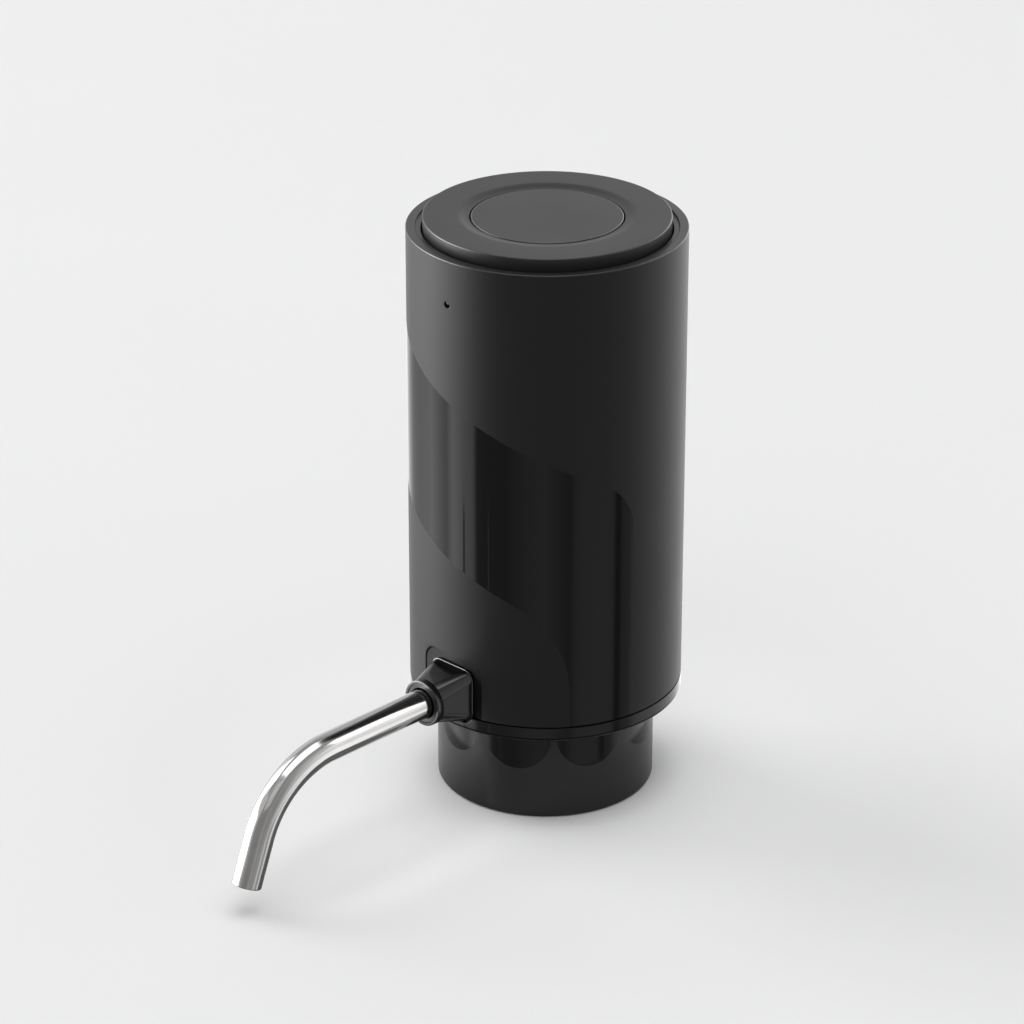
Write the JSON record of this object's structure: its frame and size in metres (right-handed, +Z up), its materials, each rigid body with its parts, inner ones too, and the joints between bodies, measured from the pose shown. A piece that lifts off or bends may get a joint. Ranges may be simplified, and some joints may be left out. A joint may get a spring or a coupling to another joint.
{
  "type": "electric wine aerator",
  "caption": "Cylindrical electric wine aerator on a bottle collar, with a bent steel spout on a lofted boss, a power button on top and an air pump inside",
  "frame": {"origin": "on the body's axis at the foot of the bottle collar, where it stands on a surface or goes over a bottle's neck", "axes": "+Z up along the body's axis, the spout points along -Y, +X to the right of the spout seen from the front"},
  "size_m": [0.065, 0.1335, 0.1429],
  "materials": {
    "matte_black": "satin black",
    "gloss_black": "glossy black",
    "polished_steel": "polished stainless steel",
    "black_rubber": "matte black rubber",
    "clear_silicone": "milky silicone",
    "lamp_lens": "pale lens",
    "grey_plastic": "grey moulding",
    "plated_steel": "plated steel",
    "board_green": "green circuit board",
    "cell_wrap": "blue heat-shrunk wrap",
    "magnet_grey": "ferrite grey"
  },
  "bodies": {
    "body": {"body_shell": "matte_black", "base_ring": "gloss_black", "bottle_collar": "matte_black", "neck_grip": "black_rubber", "bottle_stopper": "clear_silicone", "top_cover": "matte_black", "spout_boss": "gloss_black", "spout_seal": "black_rubber", "wine_elbow": "grey_plastic", "elbow_seal": "black_rubber", "light_pipe": "lamp_lens", "inner_frame": "grey_plastic", "main_board": "board_green", "charge_socket": "plated_steel", "battery_cell": "cell_wrap", "battery_clip_1": "plated_steel", "battery_clip_2": "plated_steel", "switch_board": "board_green", "tact_switch": "grey_plastic", "indicator_lamp": "lamp_lens", "pump_head": "grey_plastic", "valve_plate": "matte_black", "diaphragm": "black_rubber", "wobble_plate": "grey_plastic", "pump_crankcase": "matte_black", "motor_can": "plated_steel", "motor_magnet_1": "magnet_grey", "motor_magnet_2": "magnet_grey", "motor_end_cap": "matte_black", "motor_clamp": "grey_plastic", "air_hose": "clear_silicone", "collar_screw_1": "plated_steel", "collar_screw_2": "plated_steel", "collar_screw_3": "plated_steel", "frame_screw_1": "plated_steel", "frame_screw_2": "plated_steel", "frame_screw_3": "plated_steel", "cover_screw_1": "plated_steel", "cover_screw_2": "plated_steel", "cover_screw_3": "plated_steel", "main_board_screw_1": "plated_steel", "main_board_screw_2": "plated_steel", "switch_board_screw_1": "plated_steel", "switch_board_screw_2": "plated_steel", "button_spring": "plated_steel"},
    "button": {"power_button": "matte_black"},
    "plunger": {"switch_plunger": "black_rubber"},
    "rotor": {"motor_rotor": "plated_steel", "motor_eccentric": "grey_plastic"},
    "spout": {"spout_tube": "polished_steel"}
  },
  "joints": [
    {"name": "button_press", "type": "slide", "parent": "body", "child": "button", "axis": [0, 0, -1], "range_m": [0, 0.0008], "stiffness_N_per_m": 1500, "springref_m": -0.0008, "deforming": ["button_spring"]},
    {"name": "switch_press", "type": "slide", "parent": "body", "child": "plunger", "axis": [0, 0, -1], "range_m": [0, 0.0008]},
    {"name": "motor_spin", "type": "hinge", "parent": "body", "child": "rotor", "pos_m": [0, -0.0145, 0.082], "axis": [0, 0, 1], "continuous": true},
    {"name": "spout_swivel", "type": "hinge", "parent": "body", "child": "spout", "pos_m": [0, -0.0416, 0.0324], "axis": [0, -1, 0], "continuous": true}
  ],
  "couplings": [
    {"joint": "switch_press", "follows": "button_press", "ratio": 1}
  ]
}
